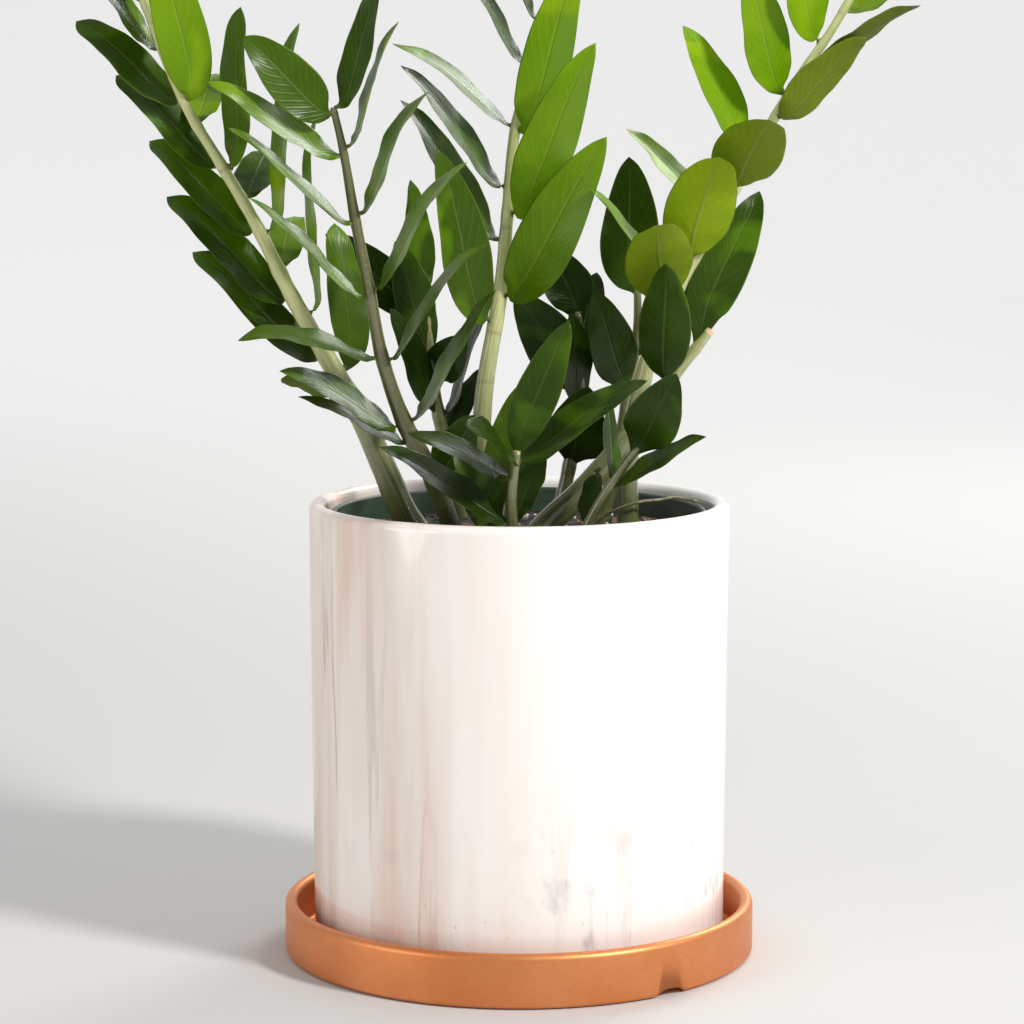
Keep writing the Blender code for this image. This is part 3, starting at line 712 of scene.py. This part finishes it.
# %% How much painted light each leaflet gets
# Painted light for each leaflet, from 0 for painted deep shade to 1 for painted light shining through.
LEAFLET_LIGHT = {
    "left": (0.08, 0.05, 0.10, 0.08, 0.10, 0.30, 0.85, 0.15, 0.70, 0.75, 0.20, 0.08),
    "centre_left": (0.14, 0.06, 0.38, 0.40, 0.42, 0.32, 0.38, 0.34, 0.32, 0.24, 0.42, 0.20),
    "centre": (0.62, 0.92, 0.95, 0.14, 0.20, 0.08, 0.16, 0.10, 0.14),
    "right": (0.70, 0.86, 0.42, 0.34, 0.22, 0.95, 0.78, 0.90, 0.55, 0.70, 0.85),
}
BLUNT = {"left": 0.34, "centre_left": 0.12, "centre": 0.08, "right": 0.15}
# Painted light for the leaflets joined to each stem, varied a little per leaflet.
CROWN_LIGHT = {
    "left": 0.45, "centre_left": 0.2, "centre": 0.4, "right": 0.5, "cut": 0.06, "front_right": 0.10,
    "front": 0.05, "low_centre": 0.35, "back_left": 0.06, "back_centre": 0.02, "back_right": 0.10,
}


def dress(piece, node):
    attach(piece, "root")
    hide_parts(node)


seed = 0
for frond, frond_lights in LEAFLET_LIGHT.items():
    for number, leaf_light in enumerate(frond_lights, 1):
        node = f"{frond}_leaflet_{number:02d}"
        bm = bmesh.new()
        for stations in leaflets[node]:
            seed += 1
            add_leaflet(bm, stations, leaf_light, seed, blunt=BLUNT[frond])
        bmesh.ops.recalc_face_normals(bm, faces=bm.faces)
        dress(object_of(f"{frond}_leaf_{number:02d}", bm, [leaf_wax]), node)
print("separate leaflets:", seed)

# %% [markdown]
# A smooth curve through the route's points carries the stem. It swells a little where each leaflet
# grows from it, and its sides are never quite round. The leaflets joined to it go in the same piece.

# %% Stems with their joined leaflets
STEM_ROUND, STEM_STEP, FEWEST_ROWS = 20, 2.2 * MM, 24
SKIN_SLOT, LEAF_SLOT, FLESH_SLOT = 0, 1, 2
CUT_LENGTH = 3 * MM  # how much of the cut frond's end shows bare flesh
CUT_SPLIT = 75 * MM  # its leaflet on the left shows its underside, and the one on the right its upper side
DARK_STEM = {"centre_left": 0.9, "back_left": 0.7, "back_centre": 0.9, "back_right": 0.8, "cut": 0.35}


def swelling(place, bases, radius):
    return max(0.16 * math.exp(-((place - base).length / (1.3 * radius)) ** 2) for base in bases)


def frames_of(centres):
    """Two directions square to the stem at each point, turned as little as can be on the way."""
    frames = []
    right = Vector((1, 0, 0))
    for before, after in zip([centres[0]] + centres, centres[1:] + [centres[-1]]):
        along = (after - before).normalized()
        right = (right - along * right.dot(along)).normalized()
        frames.append((right, along.cross(right)))
    return frames


def bare_flesh(bm, skin, tip, reach):
    """Gives the flesh's finish to the ends that were filled, and to what lies near a tip."""
    for face in bm.faces:
        if face not in skin or (face.calc_center_median() - tip).length < reach:
            face.material_index = FLESH_SLOT


def add_stem(bm, name, bases):
    points = stem_points(name)
    knots = lengths_of(points)
    total = knots[-1]
    rows = max(FEWEST_ROWS, round(total / STEM_STEP))
    dark = DARK_STEM.get(name, 0.0)
    radii = [radius for _, radius in points]
    steps = [total * i / rows for i in range(rows + 1)]
    centres = [curve_value(knots, [centre for centre, _ in points], step) for step in steps]
    widths = [curve_value(knots, radii, step) for step in steps]
    swell = [1 + swelling(centre, bases, width) for centre, width in zip(centres, widths)]
    frames = frames_of(centres)

    def place(u, v):
        i = round(u * rows)
        radius = curve_value(knots, radii, total * u) * swell[i]
        angle = math.tau * v
        radius *= 1 + 0.025 * math.sin(3 * angle + 4 * u) + 0.015 * math.sin(5 * angle + 11 * u)
        if i == rows:
            radius *= 0.86
        right, ahead = frames[i]
        return centres[i] + (right * math.cos(angle) + ahead * math.sin(angle)) * radius

    def stem_map(u, v, _):
        return total * u * 10, v

    def tint_map(u, v, _):
        return (centres[round(u * rows)].z - SOIL_EDGE) * 5, dark

    fresh = roll(bm, rows, STEM_ROUND, place, {"stem": stem_map, "tint": tint_map}, SKIN_SLOT)
    skin = set(bm.faces)
    cap_ends(bm, fresh)
    bare_flesh(bm, skin, centres[-1], CUT_LENGTH if name == "cut" else 0)


for name in STEMS:
    node = name + "_stem"
    bm = bmesh.new()
    own = leaflets[node]
    apart = [found for other in leaflets if other.startswith(name + "_leaflet") for found in leaflets[other]]
    add_stem(bm, name, [stations[0][1] for stations in own + apart])
    for stations in own:
        seed += 1
        leaf_light = CROWN_LIGHT[name] * random.Random(seed).uniform(0.7, 1.3)
        flipped = name == "cut" and stations[-1][1].x < CUT_SPLIT
        add_leaflet(bm, stations, leaf_light, seed, LEAF_SLOT, BLUNT.get(name, 0.1), flipped)
    bmesh.ops.recalc_face_normals(bm, faces=bm.faces)
    piece = object_of(name + "_stalk", bm, [stem_skin, leaf_wax, cut_flesh])
    dress(piece, node)
    print(piece.name, "faces:", len(piece.data.polygons))

# %% [markdown]
# The planter, the saucer and the nursery pot are all turned shapes, so each is one profile spun round
# the axis. The profile's outer sizes come from the CAD node's own box, and its wall is a size of its
# own. Many steps keep the lip's highlight smooth. Holes and notches are cut with a Boolean modifier,
# whose result is kept as the piece's mesh.

# %% Turned pieces
TURN_STEPS = 160


def arc(centre_x, centre_z, radius, start, end, steps):
    """Points of a rounding, from one angle in degrees to another."""
    angles = [math.radians(start + (end - start) * i / steps) for i in range(steps + 1)]
    return [(centre_x + radius * math.cos(a), centre_z + radius * math.sin(a)) for a in angles]


def turned(name, profile, materials, closed=True):
    """A profile of (radius, height) points spun round the axis."""
    bm = bmesh.new()
    verts = [bm.verts.new((x, 0, z)) for x, z in profile]
    pairs = list(zip(verts, verts[1:])) + ([(verts[-1], verts[0])] if closed else [])
    edges = [bm.edges.new(pair) for pair in pairs]
    bmesh.ops.spin(
        bm, geom=verts + edges, cent=(0, 0, 0), axis=(0, 0, 1), angle=math.tau, steps=TURN_STEPS,
        use_merge=True,
    )
    bmesh.ops.remove_doubles(bm, verts=bm.verts, dist=0.005 * MM)
    bmesh.ops.recalc_face_normals(bm, faces=bm.faces)
    return object_of(name, bm, materials)


def carve(piece, cutter_bm):
    """Cuts a mesh out of a piece."""
    cutter = object_of("cutter", cutter_bm)
    cut = piece.modifiers.new("cut", "BOOLEAN")
    cut.operation, cut.solver, cut.object = "DIFFERENCE", "EXACT", cutter
    carved = bpy.data.meshes.new_from_object(piece.evaluated_get(bpy.context.evaluated_depsgraph_get()))
    piece.modifiers.clear()
    piece.data = carved
    bpy.data.objects.remove(cutter)


print("a turned piece has", TURN_STEPS, "steps")

# %% [markdown]
# The glaze is a near-white gloss coat over a warm body, with thin grey-brown veins that wander up the
# side like those in marble, beige bands beside them, and grey smudges near the foot. The left side is
# painted beige as warm shade, and the beige bands lie only there. The veins are the narrow places where a
# stretched noise crosses its middle value, broken up by a finer noise.

# %% Planter
# The beige is partly the marble's bands and partly painted warm shade on the left side.
GLAZE_WHITE, GLAZE_BEIGE_SHADE = (0.91, 0.885, 0.86), (0.79, 0.585, 0.475)
GLAZE_VEIN, GLAZE_STREAK = (0.46, 0.33, 0.26), (0.52, 0.38, 0.30)
GLAZE_SMUDGE, GLAZE_SPECK = (0.40, 0.385, 0.385), (0.30, 0.24, 0.20)


def glaze_finish():
    glaze = Finish("marbled_glaze", 0.16, Specular_IOR_Level=0.55, Coat_Weight=0.5, Coat_Roughness=0.06)

    def drawn_out(upright, scale, detail, distortion=0.0):
        return glaze.noise(glaze.place((1.0, 1.0, upright)), scale, detail, distortion)

    where = glaze.place()
    across, height = glaze.part_of(where, 0), glaze.part_of(where, 2)
    # Painted warm shade: the left side of the planter is tinted beige.
    left = 1 - (across + height * 0.12).step(-0.07, 0.05)
    edge = 1 - (across + height * 0.25).step(-0.070, 0.0)
    low = 1 - height.step(0.02, 0.10)
    drift = drawn_out(0.10, 28, 4, 0.5)
    streak = drawn_out(0.07, 95, 5, 0.3)
    dash = drawn_out(0.09, 110, 4).step(0.42, 0.60)
    patch = drawn_out(0.45, 15, 2).step(0.45, 0.62)
    smudge = drawn_out(0.6, 85, 5).step(0.54, 0.76)
    band = drift.step(0.42, 0.62)
    beige_bands_and_shade = (band * 0.45 + streak.step(0.40, 0.64) * 0.35 + 0.2) * left
    vein = (1 - abs(drawn_out(0.07, 62, 4, 0.5) - 0.5).step(0.004, 0.034)) * dash
    specks = glaze.noise(where, 330, 1).step(0.77, 0.80)
    colour = glaze.mix(beige_bands_and_shade, GLAZE_WHITE, GLAZE_BEIGE_SHADE)
    colour = glaze.mix(vein * (edge * 0.9 + low * patch * 0.25), colour, GLAZE_VEIN)
    colour = glaze.mix(streak.step(0.56, 0.70) * edge * dash * 0.4, colour, GLAZE_STREAK)
    colour = glaze.mix(smudge * low * (patch * 0.5 + 0.2), colour, GLAZE_SMUDGE)
    colour = glaze.mix(specks * low * 0.35, colour, GLAZE_SPECK)
    return glaze.finish(colour, 0.14 + band * 0.08, drift, 0.0003, 0.12)


planter_low, planter_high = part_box("planter")
radius, base, top = planter_high.x, planter_low.z, planter_high.z
WALL, FLOOR, TAPER, DRAIN, FOOT_ROUND = 6.8 * MM, 6 * MM, 1.3 * MM, 9 * MM, 3 * MM
lip, foot = WALL / 2, radius - TAPER
profile = [(DRAIN, base + FLOOR), (foot - WALL - FOOT_ROUND, base + FLOOR)]
profile += arc(foot - WALL - FOOT_ROUND, base + FLOOR + FOOT_ROUND, FOOT_ROUND, -80, 0, 5)
profile += arc(radius - lip, top - lip, lip, 180, 0, 16)
fall = base - top + lip + FOOT_ROUND
profile += [(radius - TAPER * k / 5, top - lip + fall * k / 5) for k in range(1, 5)]
profile += arc(foot - FOOT_ROUND, base + FOOT_ROUND, FOOT_ROUND, 0, -90, 8)
profile += [(DRAIN, base)]
planter = turned("glazed_planter", profile, [glaze_finish()])
dress(planter, "planter")
print("planter:", round(2 * radius / MM), "mm wide,", round((top - base) / MM), "mm tall")

# %% [markdown]
# The saucer is satin copper: a metal shader with a brushed look from noise stretched round the axis,
# in patches of two coppers, with browner brushed streaks. Its drain notch is cut with a squashed
# cylinder, as in the CAD model.

# %% Saucer
def copper_finish():
    copper = Finish("satin_copper", 0.36, Metallic=0.85)
    brushed = copper.noise(copper.place((1, 1, 5)), 260, 3)
    stain = copper.noise(copper.place(), 22, 4)
    colour = copper.mix(stain.step(0.3, 0.75), (0.68, 0.235, 0.080), (0.78, 0.31, 0.125))
    colour = copper.mix(brushed.step(0.45, 0.8) * 0.2, colour, (0.40, 0.15, 0.055))
    return copper.finish(colour, 0.38 + stain * 0.16, brushed, 0.0001, 0.15)


saucer_low, saucer_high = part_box("saucer")
radius, rim = saucer_high.x, saucer_high.z
SAUCER_WALL, SAUCER_FLOOR, FOOT_INSET = 5.3 * MM, 5 * MM, 1.6 * MM
CORNER_ROUND = 2 * MM
NOTCH_ANGLE, NOTCH_HALF, NOTCH_TALL, NOTCH_DEEP = math.radians(-52), 8 * MM, 3.2 * MM, 7 * MM
lip, inner = SAUCER_WALL / 2, radius - SAUCER_WALL
profile = [(0, SAUCER_FLOOR), (inner * 0.5, SAUCER_FLOOR)]
profile += arc(inner - CORNER_ROUND, SAUCER_FLOOR + CORNER_ROUND, CORNER_ROUND, -90, 0, 5)
profile += arc(radius - lip, rim - lip, lip, 180, 0, 14)
profile += arc(radius - FOOT_INSET, FOOT_INSET + 0.4 * MM, FOOT_INSET, 0, -70, 5)
profile += [(radius - FOOT_INSET - 1 * MM, 0), (0, 0)]
saucer = turned("copper_saucer", profile, [copper_finish()], closed=False)
bm = bmesh.new()
bmesh.ops.create_cone(bm, cap_ends=True, segments=32, radius1=1, radius2=1, depth=2 * NOTCH_DEEP)
bmesh.ops.rotate(bm, verts=bm.verts, cent=(0, 0, 0), matrix=Matrix.Rotation(math.radians(90), 3, "Y"))
bmesh.ops.scale(bm, verts=bm.verts, vec=(1, NOTCH_HALF, NOTCH_TALL))
bmesh.ops.rotate(bm, verts=bm.verts, cent=(0, 0, 0), matrix=Matrix.Rotation(NOTCH_ANGLE, 3, "Z"))
notch_place = (radius * math.cos(NOTCH_ANGLE), radius * math.sin(NOTCH_ANGLE), 0)
bmesh.ops.translate(bm, verts=bm.verts, vec=notch_place)
carve(saucer, bm)
dress(saucer, "saucer")
print("saucer:", round(2 * radius / MM), "mm wide, faces:", len(saucer.data.polygons))

# %% [markdown]
# The nursery pot is thin dark plastic with a rolled rim, dusty with dried peat inside. Its drain holes
# can't be seen from anywhere above, but they are there in the CAD model, so they are cut here as well.

# %% Nursery pot
def pot_finish():
    plastic = Finish("pot_plastic", 0.42)
    dust = plastic.noise(plastic.place((1, 1, 2.5)), 55, 4)
    rings = plastic.noise(plastic.place((0.2, 0.2, 40)), 30, 2)
    colour = plastic.mix(dust.step(0.4, 0.8) * 0.5, (0.026, 0.050, 0.030), (0.100, 0.135, 0.090))
    return plastic.finish(colour, 0.36 + dust * 0.2, rings * 0.5 + dust * 0.3, 0.0003, 0.3)


pot_low, pot_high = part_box("nursery_pot")
radius, base, top = pot_high.x, pot_low.z, pot_high.z
RIM_WIDTH, RIM_DEPTH, POT_WALL, POT_TAPER = 2.4 * MM, 9 * MM, 1 * MM, 15 * MM
HOLES, HOLE_RADIUS, HOLE_PLACE = 6, 5 * MM, 0.7  # the place is a share of the foot's radius
body, roll_radius, skirt = radius - RIM_WIDTH + POT_WALL, RIM_WIDTH / 2, top - RIM_DEPTH
foot = body - POT_TAPER
profile = [(0, base + POT_WALL), (foot - POT_WALL, base + POT_WALL), (body - POT_WALL, skirt)]
profile += arc(radius - roll_radius, top - roll_radius, roll_radius, 180, 0, 10)
profile += [(radius, skirt), (body, skirt), (foot, base), (0, base)]
pot = turned("inner_pot", profile, [pot_finish()], closed=False)
bm = bmesh.new()
for number in range(HOLES):
    angle = math.tau * number / HOLES
    out = HOLE_PLACE * foot
    at = Matrix.Translation((out * math.cos(angle), out * math.sin(angle), base))
    bmesh.ops.create_cone(
        bm, cap_ends=True, segments=24, radius1=HOLE_RADIUS, radius2=HOLE_RADIUS, depth=4 * POT_WALL,
        matrix=at,
    )
carve(pot, bm)
dress(pot, "nursery_pot")
print("nursery pot rim:", round(2 * radius / MM), "mm, faces:", len(pot.data.polygons))

# %% [markdown]
# Potting soil is a lumpy surface. The lumps are noise on a rolled grid whose rings grow from the middle
# out, and then run down the side and under. The share along tells which of the three it is.

# %% Soil surface
SOIL_RINGS, SOIL_ROUND = 72, 150
SURFACE_SHARE, SIDE_SHARE, UNDER_SHARE = 0.84, 0.12, 0.04
LUMP, SOIL_SHOULDER = 1.2 * MM, 1.5 * MM
pot_slope = POT_TAPER / (skirt - base - POT_WALL)


def soil_height(x, y):
    far = min(1.0, math.hypot(x, y) / SOIL_RADIUS)
    coarse = noise.fractal(Vector((x, y, 0)) * 160, 1.0, 2.0, 4)
    fine = noise.noise(Vector((x, y, 5)) * 650)
    return SOIL_EDGE + SOIL_CROWN * (1 - far ** 2) * 0.8 + LUMP * (coarse * 0.8 + fine * 0.5) - 0.4 * MM


def soil_place(u, v):
    across, back = math.cos(math.tau * v), math.sin(math.tau * v)
    if u <= SURFACE_SHARE:
        out = SOIL_RADIUS * u / SURFACE_SHARE
        return Vector((out * across, out * back, soil_height(out * across, out * back)))
    down = min(1.0, (u - SURFACE_SHARE) / SIDE_SHARE)
    under = max(0.0, (u - SURFACE_SHARE - SIDE_SHARE) / UNDER_SHARE)
    shoulder = SOIL_EDGE - SOIL_SHOULDER
    z = shoulder + (soil_low.z - shoulder) * down
    out = (SOIL_RADIUS - (SOIL_EDGE - z) * pot_slope) * (1 - under)
    return Vector((out * across, out * back, z))


def soil_finish():
    peat = Finish("damp_peat", 0.95)
    crumbs = peat.noise(peat.place(), 420, 5)
    patches = peat.noise(peat.place(), 60, 3)
    colour = peat.mix(crumbs.step(0.4, 0.72), (0.008, 0.006, 0.004), (0.055, 0.038, 0.025))
    colour = peat.mix(patches.step(0.5, 0.8) * 0.5, colour, (0.075, 0.050, 0.032))
    return peat.finish(colour, 0.8 + patches * 0.2, crumbs, 0.0015, 0.9)


bm = bmesh.new()
roll(bm, SOIL_RINGS, SOIL_ROUND, soil_place, {})
bmesh.ops.recalc_face_normals(bm, faces=bm.faces)
soil = object_of("potting_soil", bm, [soil_finish()])
dress(soil, "soil")
print("soil faces:", len(soil.data.polygons))

# %% [markdown]
# On the soil lie loose bark chips, which are squashed cubes with their corners bevelled, and white
# grains, which are small rough balls. Most lie in a heap and the rest anywhere, but never in a stem.
# Each has only a few faces, because there are hundreds.

# %% Scattering
HEAPED = 0.6  # the share of the pieces that are dropped on the heap
RESTS_AT = 0.3  # how far a piece's middle lies over the soil, as a share of its size


def free_spots(dice, count, margin, heap, spread):
    """Places on the soil that no stem stands on."""
    feet = [(x * MM, y * MM, r * MM) for stem in STEMS.values() for x, y, _, r in stem[:2]]
    spots = []
    while len(spots) < count:
        if dice.random() < HEAPED:
            x, y = dice.gauss(heap[0], spread), dice.gauss(heap[1], spread)
        else:
            angle, out = dice.uniform(0, math.tau), SOIL_RADIUS * math.sqrt(dice.random())
            x, y = out * math.cos(angle), out * math.sin(angle)
        if math.hypot(x, y) > SOIL_RADIUS - margin - SOIL_SHOULDER:
            continue
        if all(math.hypot(x - fx, y - fy) > fr + margin for fx, fy, fr in feet):
            spots.append((x, y))
    return spots


def scatter(name, dice, spots, add_one, finish):
    bm = bmesh.new()
    for x, y in spots:
        before = set(bm.verts)
        size = add_one(bm, dice)
        fresh = [vert for vert in bm.verts if vert not in before]
        turn = Matrix.Rotation(dice.uniform(0, math.tau), 3, "Z")
        tilt = Matrix.Rotation(dice.gauss(0, 0.45), 3, "X")
        bmesh.ops.rotate(bm, verts=fresh, cent=(0, 0, 0), matrix=turn @ tilt)
        bmesh.ops.translate(bm, verts=fresh, vec=(x, y, soil_height(x, y) + size * RESTS_AT))
    piece = object_of(name, bm, [finish])
    for face in piece.data.polygons:
        face.use_smooth = False
    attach(piece, "root")
    print(name, len(spots), "pieces,", len(piece.data.polygons), "faces")


print("the soil's radius:", round(SOIL_RADIUS / MM, 1), "mm")

# %% [markdown]
# Bark is reddish brown and fibrous. The grains are pale volcanic glass, puffed up.

# %% Bark chips and white grains
def bark_chip(bm, dice):
    size = dice.uniform(1.6, 4.2) * MM
    made = bmesh.ops.create_cube(bm, size=1)["verts"]
    width, height = size * dice.uniform(0.5, 0.9), size * dice.uniform(0.25, 0.5)
    bmesh.ops.scale(bm, verts=made, vec=(size, width, height))
    for vert in made:
        vert.co += Vector([dice.uniform(-0.22, 0.22) * size for _ in range(3)])
    edges = list({edge for vert in made for edge in vert.link_edges})
    bmesh.ops.bevel(
        bm, geom=edges, offset=size * 0.07, offset_type="OFFSET", affect="EDGES", segments=1, profile=0.5,
        material=-1,
    )
    return size * 0.4


def white_grain(bm, dice):
    size = dice.uniform(0.5, 1.3) * MM
    made = bmesh.ops.create_icosphere(bm, subdivisions=1, radius=size)["verts"]
    for vert in made:
        vert.co *= dice.uniform(0.75, 1.2)
    return size


def chip_finish():
    bark = Finish("bark_chip", 0.85)
    fibre = bark.noise(bark.place((1, 1, 3)), 300, 4)
    piece = bark.noise(bark.place(), 90, 1)
    colour = bark.mix(piece.step(0.35, 0.65), (0.075, 0.035, 0.020), (0.40, 0.20, 0.125))
    colour = bark.mix(fibre.step(0.4, 0.7) * 0.5, colour, (0.16, 0.085, 0.05))
    return bark.finish(colour, None, fibre, 0.0006, 0.7)


def grain_finish():
    grain = Finish("white_grain", 0.8)
    tone = grain.noise(grain.place(), 500, 2)
    colour = grain.mix(tone, (0.42, 0.40, 0.36), (0.82, 0.81, 0.78))
    return grain.finish(colour, None, tone, 0.0004)


dice = random.Random(11)
spots = free_spots(dice, 150, 2.2 * MM, heap=(58 * MM, 22 * MM), spread=9 * MM)
scatter("bark_chips", dice, spots, bark_chip, chip_finish())
dice = random.Random(12)
spots = free_spots(dice, 170, 1.4 * MM, heap=(26 * MM, -20 * MM), spread=26 * MM)
scatter("white_grains", dice, spots, white_grain, grain_finish())

# %% [markdown]
# One thin dry stalk leans from the soil over the nursery pot's rim. It is only a millimetre thick, so
# the CAD tube's shape serves, made smooth, with a pale straw finish streaked with brown.

# %% Dry stalk
def straw_finish():
    straw = Finish("dry_straw", 0.7)
    streak = straw.noise(straw.place(), 260, 4)
    colour = straw.mix(streak.step(0.3, 0.7), (0.10, 0.10, 0.045), (0.26, 0.25, 0.14))
    return straw.finish(colour, None, streak, 0.0003)


bm = merged_copy("dry_stalk")
bmesh.ops.subdivide_edges(bm, edges=bm.edges, cuts=1, smooth=0.6, use_grid_fill=True)
bmesh.ops.recalc_face_normals(bm, faces=bm.faces)
stalk = object_of("dry_leaf_stalk", bm, [straw_finish()])
dress(stalk, "dry_stalk")
print("dry stalk faces:", len(stalk.data.polygons))
